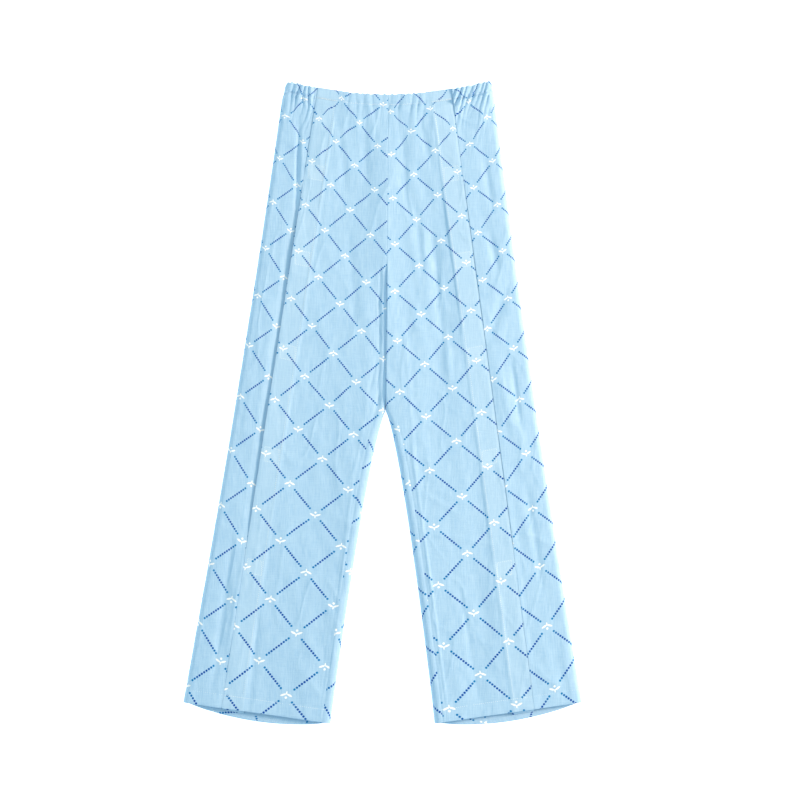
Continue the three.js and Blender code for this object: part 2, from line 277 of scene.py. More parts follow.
def cockle(x, y, seed):
    """The small relief of washed cotton: long soft waves, and thin creases where two of them meet."""
    long_waves = soft_noise(x, y, 0.030, 0.17, seed)
    short_waves = soft_noise(x + 0.3 * y, y, 0.015, 0.055, seed + 1)
    fine_waves = soft_noise(x - 0.1 * y, y, 0.0065, 0.028, seed + 4)
    thin = 1 - np.abs(soft_noise(x - 0.2 * y, y + 0.4 * x, 0.040, 0.09, seed + 2))
    cross = 1 - np.abs(soft_noise(x + 0.5 * y, y + 0.25 * x, 0.07, 0.05, seed + 3))
    waves = 0.95 * long_waves + 0.50 * short_waves + 0.16 * fine_waves
    return MM * (waves + 0.75 * thin ** 12 + 0.45 * cross ** 14)


# %% Creases that lie in one place
def crease(x, y, start, end, width, height):
    """A soft ridge, or with a negative height a valley, from start to end on the table."""
    ax, ay = start
    bx, by = end
    length = math.hypot(bx - ax, by - ay)
    along = ((x - ax) * (bx - ax) + (y - ay) * (by - ay)) / length
    aside = ((x - ax) * (by - ay) - (y - ay) * (bx - ax)) / length
    tip = min(0.35 * length, 0.04)
    ends = smooth(along, -tip / 2, tip) * (1 - smooth(along, length - tip, length + tip / 2))
    return height * ends * np.exp(-(aside / width) ** 2)


# %% [markdown]
# Gathers are a row of ridges. Each has its own height, lean and length, drawn once with a seed, so that the
# garment comes out the same every time. They are crowded over the hips and slight across the belly.

# %% Gathers
def gathers(x, below, spacing, seed):
    """Height from 0 to 1 of pleats with round backs and sharp valleys, which fade out below the casing."""
    rng = np.random.default_rng(seed)
    height, reach = rng.uniform(0.35, 1.0, 97), rng.uniform(0.010, 0.045, 97)
    under = np.clip(below - CASING_DEPTH, 0, None)
    wander = soft_noise(x, below, 0.016, 0.045, seed) + 0.5 * soft_noise(x, below, 0.008, 0.03, seed + 1)
    phase = x / spacing + 0.55 * wander + 40
    pleat = np.floor(phase).astype(int) % 97
    back = np.sin(math.pi * (phase - np.floor(phase))) ** 0.6
    pinched = 1 + 0.55 * np.exp(-((below - CASING_DEPTH - 4 * MM) / (6 * MM)) ** 2)
    return back * height[pleat] * pinched * np.exp(-(under / reach[pleat]) ** 1.2)


def hem_groove(below):
    """The dent along the hem's stitching."""
    from_stitching = below - (FRONT_LENGTH - HEM_DEPTH + 1.5 * MM)
    return 0.45 * MM * np.exp(-(from_stitching / (1.8 * MM)) ** 2)


def stitched_in(below):
    """1 along the casing's stitching, where the thread pulls the cloth down."""
    return np.exp(-((below - CASING_DEPTH + 1.5 * MM) / (2.1 * MM)) ** 2)


# %% [markdown]
# The height of the front is its level in the frame, less a sag between the seams, with the relief on top.
# Over the closure it stays above the facing, the squares and the underlap that are stacked beneath it.

# %% Height of the front
FRONT_TOP = 19.2 * MM
FRONT_SAG = 2.6 * MM
OVER_FACING = 18.5 * MM  # the lowest the flap may lie where the facing is below it

SEAM_INSET = 13 * MM  # inner edge of the leg to the seam that shows on the front
PRESSED_BY_SEAM = (  # distance from the leg's inner edge, and depth, of the line and its two echoes
    (SEAM_INSET, 0.38 * MM),
    (SEAM_INSET + 5.5 * MM, 0.16 * MM),
    (SEAM_INSET + 11 * MM, 0.10 * MM),
)

FOLD_DEPTH = 2.0 * MM  # of the fold beside the lower rise seam, on the wearer's right
FOLD_FLOOR = 8.5 * MM  # from the seam to where its floor ends
FOLD_RIM = 36 * MM  # and to where the front is level again
FOLD_VALLEY = 11.2 * MM  # from the seam to its deepest line
FOLD_RIDGE = 6.5 * MM  # and to the low ridge inside it
BESIDE_FOLD = 1.2 * MM  # how far the wearer's left front stands up beside it
BESIDE_REACH = 45 * MM


def by_rise_fold(y):
    """1 beside the lower rise seam, where the wearer's right front has slipped into a fold."""
    return smooth(y, -0.018, 0.004) * (1 - smooth(y, 0.192, 0.222))


FRONT_CREASES = {
    "left": [
        ((0.074, 0.270), (0.100, 0.085), 0.009, -2.6 * MM),
        ((0.052, 0.300), (0.062, 0.180), 0.006, -1.4 * MM),
        ((0.090, 0.210), (0.105, 0.020), 0.006, 1.5 * MM),
        ((0.030, 0.420), (0.038, 0.300), 0.007, -1.6 * MM),
        ((0.055, 0.440), (0.075, 0.370), 0.006, -1.5 * MM),
        ((0.034, 0.110), (0.052, -0.120), 0.004, 0.7 * MM),
        ((0.048, -0.200), (0.185, -0.222), 0.0035, 0.9 * MM),
        ((0.060, -0.140), (0.120, -0.175), 0.004, 0.8 * MM),
        ((0.044, -0.060), (0.078, -0.310), 0.0028, 0.8 * MM),
        ((0.066, -0.220), (0.098, -0.460), 0.0028, 0.8 * MM),
        ((0.120, -0.290), (0.150, -0.470), 0.005, -0.9 * MM),
    ],
    "right": [
        ((-0.052, 0.270), (-0.042, 0.120), 0.007, -1.0 * MM),
        ((-0.030, 0.440), (-0.024, 0.340), 0.007, -1.5 * MM),
        ((-0.065, 0.420), (-0.058, 0.330), 0.006, -1.3 * MM),
        ((-0.0075, 0.070), (-0.0220, 0.010), 0.0024, -1.7 * MM),
        ((-0.0035, 0.015), (-0.0150, -0.030), 0.0030, -1.3 * MM),
        ((-0.075, 0.110), (-0.120, 0.095), 0.004, 0.8 * MM),
        ((-0.040, -0.080), (-0.075, -0.105), 0.004, 0.9 * MM),
        ((-0.095, -0.205), (-0.225, -0.232), 0.004, 1.0 * MM),
        ((-0.062, -0.170), (-0.120, -0.195), 0.004, 0.8 * MM),
        ((-0.045, -0.110), (-0.080, -0.420), 0.0028, 0.8 * MM),
        ((-0.196, -0.330), (-0.206, -0.480), 0.006, -1.6 * MM),
        ((-0.185, -0.150), (-0.205, -0.320), 0.004, 0.9 * MM),
    ],
}


def rise_fold(y, u):
    """Depth of the fold at u from the rise seam, with a wandering valley and ridge inside it."""
    deep = FOLD_DEPTH * by_rise_fold(y)
    wander = 1.6 * MM * soft_noise(0 * y, y, 1.0, 0.030, 81)
    uneven = 1 + 0.45 * soft_noise(0 * y, y, 1.0, 0.022, 82)
    valley = 0.62 * np.exp(-((u - FOLD_VALLEY - wander) / (1.6 * MM)) ** 2)
    ridge = 0.35 * np.exp(-((u - FOLD_RIDGE - wander) / (2.2 * MM)) ** 2)
    return deep * (1 - smooth(u, FOLD_FLOOR, FOLD_RIM) + uneven * (valley - ridge))


def front_height(side, t, u):
    x, y = place(side, t, u)
    below = t * FRONT_LENGTH
    edge, fold = flap_edge(side, t), fold_line(side, t)
    across = np.clip((u - inner(t)) / (edge - inner(t)), 0, 1)
    height = FRONT_TOP - FRONT_SAG * np.sin(np.pi * across) * smooth(below, 0.04, 0.2)
    height = height + cockle(x, y, 11) * smooth(below, 0.0, 0.03)
    belly = 1 - smooth(u, fold - 0.012, fold + 0.002)
    height += belly * 1.9 * MM * gathers(x, below, 0.0135, 21)
    height -= (0.35 + 1.1 * belly) * MM * stitched_in(below)
    for start, end, width, rise in FRONT_CREASES[side["name"]]:
        height += crease(x, y, start, end, width, rise)
    pressed = np.exp(-((u - (edge - FACING_WIDTH)) / 0.0022) ** 2)
    height += 0.7 * MM * pressed * smooth(below, 0.03, 0.06)
    leg = smooth(t, CROTCH + 0.01, CROTCH + 0.06)
    for line, depth in PRESSED_BY_SEAM:
        height -= depth * leg * np.exp(-((u - inner(t) - line) / 0.0011) ** 2)
    height -= hem_groove(below)
    if side["name"] == "left":
        height += BESIDE_FOLD * by_rise_fold(y) * (1 - smooth(u, 0, BESIDE_REACH))
    else:
        height -= rise_fold(y, u)
    over_closure = smooth(u, edge - FACING_WIDTH - 0.004, edge - FACING_WIDTH)
    height = np.where(over_closure > 0, np.maximum(height, mix(height, OVER_FACING, over_closure)), height)
    droop = 0.5 * MM * smooth(u, edge - 0.004, edge)
    return height - droop


print("front height at the middle of a leg", front_height(SIDES["left"], np.array(0.7), np.array(0.12)))

# %% [markdown]
# The back panel comes round the outer side and lies on top again. Everywhere it steps up at the flap's edge.
# Along the wearer's right thigh the step is lower and a slow slope follows it, so that a band of shade lies
# there. Under the flap the panel becomes the underlap, at its level in the frame.

# %% Height of the wrap and of the back
UNDERLAP_TOP = 13.6 * MM
WRAP = {  # shoulder is its level beyond the flap, and lower is what that gains on the lower leg
    "left": {"shoulder": 18.5 * MM, "lower": 0.2 * MM, "wide": 0.6 * MM, "calm": 1 * MM, "seed": 31},
    "right": {"shoulder": 18.2 * MM, "lower": 0.7 * MM, "wide": 14 * MM, "calm": 8 * MM, "seed": 41},
}  # wide is the slope's width along the thigh, and calm the distance over which the gathers start
UNDER_EDGE = 0.15 * MM  # how far under the flap's edge the wrap starts to rise
STEP_WIDTH = 0.2 * MM  # and how far beyond the edge its step ends
STEP_SHARE = 0.45  # of the rise that the step takes where a slope follows it
WRAP_CREASES = {
    "left": [
        ((0.158, 0.375), (0.170, 0.300), 0.006, -1.6 * MM),
        ((0.165, 0.260), (0.178, 0.205), 0.006, -1.8 * MM),
        ((0.192, 0.180), (0.166, 0.100), 0.008, -2.2 * MM),
        ((0.200, 0.060), (0.214, -0.040), 0.004, -1.6 * MM),
        ((0.180, 0.050), (0.205, -0.060), 0.006, 1.0 * MM),
        ((0.222, -0.130), (0.248, -0.290), 0.006, -1.4 * MM),
        ((0.212, -0.200), (0.270, -0.225), 0.004, 0.9 * MM),
        ((0.235, -0.420), (0.290, -0.445), 0.006, 0.8 * MM),
    ],
    "right": [
        ((-0.1295, 0.425), (-0.1340, 0.290), 0.0034, -3.2 * MM),
        ((-0.1230, 0.425), (-0.1270, 0.330), 0.0040, 0.8 * MM),
        ((-0.150, 0.330), (-0.160, 0.180), 0.006, 0.8 * MM),
        ((-0.200, 0.060), (-0.215, -0.060), 0.007, 0.7 * MM),
        ((-0.232, -0.210), (-0.262, -0.440), 0.006, -1.8 * MM),
        ((-0.215, -0.240), (-0.240, -0.380), 0.004, 1.0 * MM),
    ],
}


def wrap_height(side, t, u):
    x, y = place(side, t, u)
    lie = WRAP[side["name"]]
    below = t * FRONT_LENGTH
    edge = flap_edge(side, t)
    widest = smooth(y, -0.26, -0.14) * (1 - smooth(y, 0.28, 0.35))
    step = smooth(u, edge - UNDER_EDGE, edge + STEP_WIDTH)
    slope = smooth(u, edge - UNDER_EDGE, edge + lie["wide"])
    out = step * mix(1, mix(STEP_SHARE, 1, slope), widest)
    relief = cockle(x, y, lie["seed"]) * smooth(below, 0.0, 0.03) * smooth(u, edge, edge + 0.010)
    relief = relief - hem_groove(below)
    for start, end, width, rise in WRAP_CREASES[side["name"]]:
        relief = relief + crease(x, y, start, end, width, rise)
    pleats = gathers(x + 0.25 * (below - CASING_DEPTH), below, 0.0082, lie["seed"] + 5)
    calm = smooth(u, edge, edge + lie["calm"])
    relief = relief + calm * (5.2 * MM * pleats - 3.4 * MM * stitched_in(below))
    shoulder = lie["shoulder"] + lie["lower"] * smooth(t, 0.68, 0.78)
    return UNDERLAP_TOP + out * (shoulder - UNDERLAP_TOP + relief)


HEM_CURL = 8.5 * MM  # how far the back's hem lifts towards the front's
CURL_REACH = 75 * MM  # from the hem to where it starts to lift


def back_height(side, t, u):
    """The outside of the back, which lies on the table."""
    x, y = place(side, t, u)
    below = t * FRONT_LENGTH
    seed = 51 if side["sign"] > 0 else 61
    relief = np.clip(cockle(x, y, seed) + 0.3 * MM, 0, None) * smooth(below, 0.0, 0.06)
    across = np.clip((u - inner(t)) / (outer(t) - inner(t)), 0, 1)
    bowed = smooth(np.sin(math.pi * across), 0.0, 0.5)
    lifted = smooth(below, FRONT_LENGTH - CURL_REACH, FRONT_LENGTH) * bowed
    pleats = 1.4 * MM * gathers(x, below, 0.0105, seed + 5)
    return 0.1 * MM + relief * (1 - lifted) + HEM_CURL * lifted + pleats


print("wrap height outside", wrap_height(SIDES["right"], np.array(0.5), np.array(0.2)))

# %% [markdown]
# ## Rows and columns of a sheet
#
# A sheet starts as Blender's own grid. Its rows are then laid down the garment and its columns across it.
# The rows begin inside the waist casing, go up over the folded top edge, down the outside and round the hem
# fold to its raw edge inside, so that the turned edges are the same piece of cloth, as they are when sewn.

# %% Rows down a sheet
FINE_ROW = 1.9 * MM  # down to the end of the pleats
PLAIN_ROW = 4.1 * MM
FINE_TO = 64 * MM
TURN_STEPS = 5


CASING_GAP = 3.4 * MM  # outer layer to the turned-in layer, with the elastic between them
HEM_GAP = 1.7 * MM
HIDDEN_ROW = 4 * MM  # on the turned-in layers


def rows_down():
    """Each row's t, its depth inside the cloth's outer face, and its distance along the cloth."""
    rows = []
    for distance in np.linspace(CASING_DEPTH, CASING_GAP / 2, round(CASING_DEPTH / HIDDEN_ROW)):
        rows.append((distance, CASING_GAP, -distance))
    turn = np.linspace(0, math.pi, TURN_STEPS + 2)[1:-1]
    for angle in turn:
        lift = CASING_GAP / 2 * (1 - math.sin(angle))
        rows.append((lift, CASING_GAP / 2 * (1 + math.cos(angle)), 0.0))
    for distance in np.arange(CASING_GAP / 2, FINE_TO, FINE_ROW):
        rows.append((distance, 0.0, distance))
    steps = round((FRONT_LENGTH - HEM_GAP / 2 - FINE_TO) / PLAIN_ROW)
    for distance in np.linspace(FINE_TO, FRONT_LENGTH - HEM_GAP / 2, steps):
        rows.append((distance, 0.0, distance))
    for angle in turn:
        drop = FRONT_LENGTH - HEM_GAP / 2 * (1 - math.sin(angle))
        rows.append((drop, HEM_GAP / 2 * (1 - math.cos(angle)), FRONT_LENGTH))
    for distance in np.linspace(HEM_GAP / 2, HEM_DEPTH, round(HEM_DEPTH / HIDDEN_ROW)):
        rows.append((FRONT_LENGTH - distance, HEM_GAP, FRONT_LENGTH + distance))
    t, depth, along = np.array(rows).T
    return t / FRONT_LENGTH, depth, along


# %% [markdown]
# The print can't follow the table's coordinates, because it has to break at the seams and turn with the
# cloth. So each sheet carries its own UV maps: one in the lattice of the print, one in metres of cloth for
# the weave, and one with the distance from the closure squares.

# %% Make a sheet from a grid
def new_piece(name, bm, smooth_faces=True):
    mesh = bpy.data.meshes.new(name)
    bm.to_mesh(mesh)
    bm.free()
    piece = bpy.data.objects.new(name, mesh)
    bpy.context.scene.collection.objects.link(piece)
    if smooth_faces:
        mesh.shade_smooth()
    return piece


def lay_sheet(name, points, maps, strip=None):
    """A grid laid on points, rows x columns x 3, with UV maps of rows x columns x 2 each.

    A strip gives the faces of the first columns a lattice map of their own from one row on.
    """
    rows, columns = points.shape[:2]
    bm = bmesh.new()
    bmesh.ops.create_grid(bm, x_segments=columns - 1, y_segments=rows - 1, size=0.5)
    bm.verts.ensure_lookup_table()
    flat = np.array([v.co[:2] for v in bm.verts])
    column = np.rint((flat[:, 0] + 0.5) * (columns - 1)).astype(int)
    row = np.rint((flat[:, 1] + 0.5) * (rows - 1)).astype(int)
    piece = new_piece(name, bm)
    mesh = piece.data
    mesh.vertices.foreach_set("co", points[row, column].astype(np.float32).ravel())
    corners = np.zeros(len(mesh.loops), int)
    mesh.loops.foreach_get("vertex_index", corners)
    for map_name, values in maps.items():
        layer = mesh.uv_layers.new(name=map_name)
        spread = values[row[corners], column[corners]]
        if strip is not None and map_name == "lattice":
            in_columns = column[corners].reshape(-1, 4).max(1) <= strip["last_column"]
            in_rows = row[corners].reshape(-1, 4).min(1) >= strip["first_row"]
            inside = np.repeat(in_columns & in_rows, 4)
            spread[inside] = strip["lattice"][row[corners], column[corners]][inside]
        layer.data.foreach_set("uv", spread.astype(np.float32).ravel())
    mesh.update()
    return piece


# %% [markdown]
# The lattice has square cells set on their points. They are about 63 mm across at the waist and grow
# towards the hem. A line of the pattern is followed down each panel, and the two lattice numbers are the sum
# and the difference of the cells counted across and down.

# %% The lattice of the print
CELL_AT_TOP = 63.1 * MM
CELL_GROWTH = 0.038  # per metre down
LATTICE_TOP = 0.480
LATTICE = {
    ("front", "right"): {"line": (-0.0940, -0.1375, -0.0319), "tilt": -0.104, "start": 0.64, "turn": 0},
    ("front", "left"): {"line": (0.0103, 0.0322, 0.0208), "tilt": 0.072, "start": 0.49, "turn": 0},
    ("wrap", "right"): {"line": (-0.1432, -0.1488, -0.0306), "tilt": -0.235, "start": 0.58, "turn": 0},
    ("wrap", "left"): {"line": (0.1264, 0.0901, 0.0086), "tilt": 0.229, "start": 0.25, "turn": 1},
}


def lattice(panel, name, x, y):
    """The two lattice numbers of points on the flat cloth. Whole numbers fall on the printed lines."""
    plan = LATTICE[(panel, name)]
    down = LATTICE_TOP - y
    cell = CELL_AT_TOP + CELL_GROWTH * down
    line = plan["line"][0] + plan["line"][1] * down + plan["line"][2] * down ** 2
    tilted = down + plan["tilt"] * (x - line)
    rows = plan["start"] - np.log(1 + CELL_GROWTH * tilted / CELL_AT_TOP) / CELL_GROWTH
    across = (x - line) / cell
    return np.stack([across + rows, across - rows + plan["turn"]], -1)


def hidden_by_folds(points):
    """How far each point has slipped along its row because folds take up cloth."""
    step = np.diff(points, axis=1)
    excess = np.linalg.norm(step, axis=2) - np.linalg.norm(step[:, :, :2], axis=2)
    slip = np.concatenate([np.zeros((len(points), 1)), np.cumsum(excess, axis=1)], axis=1)
    share = np.linspace(0, 1, points.shape[1])[None, :]
    return slip - share * slip[:, -1:]


def drawn_by_gathers(x, y, below):
    """How far the print is pulled sideways and down where the elastic gathers the cloth."""
    fade = np.exp(-(below / 0.13) ** 2)
    sideways = 3.2 * MM * soft_noise(x, y, 0.014, 0.05, 91) + 1.2 * MM * soft_noise(x, y, 0.006, 0.03, 92)
    downward = 2.6 * MM * soft_noise(x, y, 0.013, 0.06, 93)
    return fade * sideways, fade * downward


def closure_map(side, t, u):
    """Distance from the closure squares' centre line, and from the nearest square along it."""
    aside = u - (flap_edge(side, t) - PATCH_INSET)
    index = np.arange(PATCH_COUNT)
    centres = PATCH_FIRST + PATCH_PITCH * index + PATCH_SPREAD * index ** 2
    along = np.abs(t[..., None] * FRONT_LENGTH - centres).min(-1)
    return np.stack([aside + 0 * along, along + 0 * aside], -1)


print("cell at the hem", round(CELL_AT_TOP + CELL_GROWTH * 0.95, 4), "m")

# %% [markdown]
# ## Front panels
#
# Each front is one sheet from the centre seam to the flap's free edge. Along the inner leg it rolls down to
# the inseam, and at the centre it dips into the rise seam. The strip next to the inseam belongs to the back
# panel on the real garment, so the print there follows the back's lattice and breaks at the seam.

# %% Front sheets
CLOTH = 0.42 * MM
FRONT_ARC = 7
STRIP_COLUMNS = 4
HINGE_HALF = 6 * MM  # half the width of the finer columns where the flap bends
BACK_OFFSET = 0.35  # along the back's cloth, in metres, from the strip by the inseam to the wrap
TURN = 0.3 * MM  # width of the last column beside an edge, so that the rim's rounding stays at the edge


INSEAM_LEVEL = 9.8 * MM
SEAM_DENT = 0.35 * MM  # how deep the rise seam lies in the front
FOLD_DENT = 3.1 * MM  # and how much deeper beside the fold


def seam_level(t):
    """Height of the edge where front and back are joined: high in the rise seam, mid-way in the inseam."""
    _, y = place(SIDES["left"], t, 0.0 * t)
    rise = front_height(SIDES["left"], t, inner(t)) - SEAM_DENT - FOLD_DENT * by_rise_fold(y)
    return mix(rise, INSEAM_LEVEL, smooth(t, CROTCH - 0.03, CROTCH + 0.004))


def seam_reach(t):
    """How wide the roll towards the seam is: narrow at the rise seam, wide at the inseam."""
    return mix(2.2 * MM, 9.0 * MM, smooth(t, CROTCH - 0.03, CROTCH + 0.03))


def front_columns(side, t):
    """u of each column of a row at t, with how far it has turned from the seam, from 0 to 1."""
    below_crotch = smooth(t, CROTCH - 0.03, CROTCH + 0.03)
    reach = seam_reach(t)
    start, fold, edge = inner(t) + 0.02 * MM, fold_line(side, t), flap_edge(side, t)
    turned = np.linspace(0, 1, FRONT_ARC)
    arc = start + reach * (1 - np.cos(turned * math.pi / 2))
    seam = start + mix(6.0 * MM, SEAM_INSET, below_crotch)
    strip = np.linspace(start + reach, seam, STRIP_COLUMNS + 1)[1:]
    flat = np.linspace(seam, fold - HINGE_HALF, 48)[1:]
    hinge = np.linspace(fold - HINGE_HALF, fold + HINGE_HALF, 11)[1:]
    flap = np.append(np.linspace(fold + HINGE_HALF, edge - TURN, 37)[1:], edge)
    u = np.concatenate([arc, strip, flat, hinge, flap])
    rise = np.concatenate([np.sin(turned * math.pi / 2), np.ones(len(u) - FRONT_ARC)])
    return u, rise


def front_sheet(name, side):
    t_rows, depth, along = rows_down()
    u = np.array([front_columns(side, t)[0] for t in t_rows])
    rise = np.array([front_columns(side, t)[1] for t in t_rows])
    t = np.repeat(t_rows[:, None], u.shape[1], 1)
    flap_part = smooth(u, fold_line(side, t) + 2 * MM, fold_line(side, t) + 8 * MM)
    inward = np.where(t < 0.1, mix(depth[:, None], depth[:, None] * 0.15, flap_part), depth[:, None])
    x, y = place(side, t, u)
    top = front_height(side, t, u)
    level = seam_level(t)
    z = level + (top - level) * rise - inward * (0.3 + 0.7 * rise)
    points = np.stack([x, y, z], -1)
    beyond = along[:, None] - t * FRONT_LENGTH
    slip = side["sign"] * hidden_by_folds(points) * 1.6
    drawn_x, drawn_y = drawn_by_gathers(x, y, t * FRONT_LENGTH)
    flat_x, flat_y = x + slip + drawn_x, y - beyond + drawn_y
    maps = {
        "lattice": lattice("front", name, flat_x, flat_y),
        "cloth": np.stack([flat_x, flat_y], -1),
        "closure": closure_map(side, t, u),
    }
    strip = {
        "last_column": FRONT_ARC + STRIP_COLUMNS - 1,
        "first_row": int(np.argmax((t_rows > CROTCH + 0.012) & (along > 0.1))),
        "lattice": lattice("wrap", name, flat_x + side["sign"] * BACK_OFFSET, flat_y),
    }
    return lay_sheet(f"front_{name}", points, maps, strip)


fronts = {name: front_sheet(name, side) for name, side in SIDES.items()}
for name, sheet in fronts.items():
    print(sheet.name, len(sheet.data.vertices), "vertices")

# %% [markdown]
# ## Back panels
#
# Each back starts at the centre or at the inseam, lies on the table, rolls round the outer side and comes
# in over the top as far as the end of the underlap. One long row of columns follows that whole path.

# %% Back sheets
BACK_ARC = 7
SIDE_ARC = 13
SIDE_RADIUS = 8.5 * MM
BACK_COLUMNS = 60
WRAP_COLUMNS = 60
LIP_COLUMNS = 22


def back_path(side, t):
    """One row of the back: u, outward height, and which way the inside of the cloth is."""
    reach = seam_reach(t)
    low_seam = mix(1.8 * MM, 9.4 * MM, smooth(t, CROTCH - 0.05, CROTCH + 0.004))
    start = inner(t) + 0.05 * MM
    shoulder = outer(t) - SIDE_RADIUS
    turned = np.linspace(0, math.pi / 2, BACK_ARC)
    bottom_u = np.linspace(start + reach, shoulder, BACK_COLUMNS)[1:]
    edge = flap_edge(side, t)
    rising = np.linspace(edge + STEP_WIDTH, edge - UNDER_EDGE, 3)
    wrap_u = np.linspace(shoulder, rising[0] + TURN, WRAP_COLUMNS - 1)[1:]
    lip_u = np.linspace(rising[-1], lip_end(side, t), LIP_COLUMNS)[1:]
    top_u = np.concatenate([wrap_u, rising, lip_u])
    arc_u = start + reach * (1 - np.cos(turned))
    floor = back_height(side, np.full(BACK_ARC, t), arc_u)
    arc_z = mix(low_seam, floor, np.sin(turned))
    bottom_z = back_height(side, np.full(len(bottom_u), t), bottom_u)
    top_z = wrap_height(side, np.full(len(top_u), t), top_u)
    low, high = bottom_z[-1], wrap_height(side, np.array([t]), np.array([shoulder]))[0]
    round_side = np.linspace(-math.pi / 2, math.pi / 2, SIDE_ARC)[1:]
    side_u = shoulder + SIDE_RADIUS * np.cos(round_side)
    side_z = (low + high) / 2 + (high - low) / 2 * np.sin(round_side)
    u = np.concatenate([arc_u, bottom_u, side_u, top_u])
    z = np.concatenate([arc_z, bottom_z, side_z, top_z])
    inside_u = np.concatenate([0 * arc_u, 0 * bottom_u, -np.cos(round_side), 0 * top_u])
    inside_arc = np.sin(turned) * 0.7 + 0.3
    inside_z = np.concatenate([inside_arc, 1 + 0 * bottom_u, -np.sin(round_side), -1 + 0 * top_u])
    return u, z, inside_u, inside_z


def hem_droop(u, z):
    """How far the back's hem hangs below the front's: most in the middle of the leg, none on the wrap."""
    across = np.clip((u - HEM_INNER) / (HEM_OUTER - HEM_INNER), 0, 1)
    layer = np.clip((13 * MM - z) / (3 * MM), 0, 1)
    return BACK_HEM_DROOP * np.sin(math.pi * across) ** 0.85 * layer


def back_sheet(name, side):
    t_rows, depth, along = rows_down()
    paths = np.array([back_path(side, t) for t in t_rows])
    u, z, inside_u, inside_z = paths.transpose(1, 0, 2)
    t = np.repeat(t_rows[:, None], u.shape[1], 1)
    u = u + inside_u * depth[:, None]
    z = z + inside_z * depth[:, None]
    x, y = place(side, t, u, hem_droop(u, z))
    points = np.stack([x, y, z], -1)
    first_top = BACK_ARC + BACK_COLUMNS + SIDE_ARC - 2
    step = np.linalg.norm(np.diff(points, axis=1), axis=2)
    run = np.concatenate([np.zeros((len(t), 1)), np.cumsum(step, axis=1)], axis=1)
    edge_x = x[:, first_top:first_top + 1]
    unrolled = edge_x + side["sign"] * (run[:, first_top:first_top + 1] - run)
    beyond = along[:, None] - t * FRONT_LENGTH
    drawn_x, drawn_y = drawn_by_gathers(x, y, t * FRONT_LENGTH)
    flat_x, flat_y = unrolled + drawn_x, y - beyond + drawn_y
    maps = {
        "lattice": lattice("wrap", name, flat_x, flat_y),
        "cloth": np.stack([flat_x, flat_y], -1),
        "closure": np.full((*t.shape, 2), 1.0),
    }
    return lay_sheet(f"back_{name}", points, maps)


backs = {name: back_sheet(name, side) for name, side in SIDES.items()}
for name, sheet in backs.items():
    print(sheet.name, len(sheet.data.vertices), "vertices")

# %% [markdown]
# ## Cotton
#
# The cloth is a fine plain weave with slubs, yarns that are a little thicker for a few centimetres. The
# colour could be one value, but the slubs and the slight unevenness of the dye are what make it read as
# woven cotton. The print is worked out from the lattice map: round dots along the lines, and a small sprig
# wherever two lines cross.

# %% Helpers for materials
class Recipe:
    """A material's node tree with short calls for the nodes that it needs."""

    def __init__(self, name):
        self.material = bpy.data.materials.new(name)
        self.material.use_nodes = True
        self.nodes = self.material.node_tree.nodes
        self.links = self.material.node_tree.links
        self.shader = self.nodes["Principled BSDF"]

    def feed(self, socket, value):
        if isinstance(value, bpy.types.NodeSocket):
            self.links.new(value, socket)
        else:
            socket.default_value = value

    def maths(self, operation, *values):
        node = self.nodes.new("ShaderNodeMath")
        node.operation = operation
        for socket, value in zip(node.inputs, values):
            self.feed(socket, value)
        return node.outputs[0]

    def uv(self, name):
        node = self.nodes.new("ShaderNodeUVMap")
        node.uv_map = name
        split = self.nodes.new("ShaderNodeSeparateXYZ")
        self.links.new(node.outputs[0], split.inputs[0])
        return node.outputs[0], split.outputs[0], split.outputs[1]

    def noise(self, vector, stretch, detail=2.0):
        scaled = self.nodes.new("ShaderNodeMapping")
        scaled.inputs["Scale"].default_value = stretch
        self.feed(scaled.inputs["Vector"], vector)
        node = self.nodes.new("ShaderNodeTexNoise")
        node.inputs["Scale"].default_value = 1.0
        node.inputs["Detail"].default_value = detail
        self.links.new(scaled.outputs[0], node.inputs["Vector"])
        return node.outputs[0]

    def blend(self, share, a, b):
        node = self.nodes.new("ShaderNodeMix")
        node.data_type = "RGBA"
        self.feed(node.inputs["Factor"], share)
        self.feed(node.inputs["A"], a)
        self.feed(node.inputs["B"], b)
        return node.outputs["Result"]

    def band(self, value, low, high):
        """1 where value is below low, 0 above high."""
        node = self.nodes.new("ShaderNodeMapRange")
        self.feed(node.inputs["Value"], value)
        node.inputs["From Min"].default_value = low
        node.inputs["From Max"].default_value = high
        node.inputs["To Min"].default_value = 1.0
        node.inputs["To Max"].default_value = 0.0
        return node.outputs["Result"]

    def bump(self, height, distance, strength=1.0):
        node = self.nodes.new("ShaderNodeBump")
        node.inputs["Distance"].default_value = distance
        node.inputs["Strength"].default_value = strength
        self.links.new(height, node.inputs["Height"])
        self.links.new(node.outputs[0], self.shader.inputs["Normal"])


# %% [markdown]
# A dot is drawn where a point is near a whole lattice line, and near one of ten steps between two
# crossings. A sprig is two leaves, a berry between them and a short stem, each an ellipse. It stands upright
# on every second line and hangs on the others.

# %% Print of dots and sprigs
DOT_STEP = 0.066  # of a cell's side
DOT_RADIUS = 0.0255
DOTS_REACH = 5 * DOT_STEP
TEAL_INK = (0.0, 0.20, 0.50, 1)  # next to a sprig
NAVY_INK = (0.0, 0.070, 0.37, 1)  # half-way between two
SPRIG = [  # centre across, centre up, lean outward, half length, half width, in cells
    (0.047, -0.004, 1.15, 0.046, 0.0155),
    (0.0, 0.036, 0.0, 0.0190, 0.0190),
    (0.0, -0.038, 0.0, 0.026, 0.0100),
]


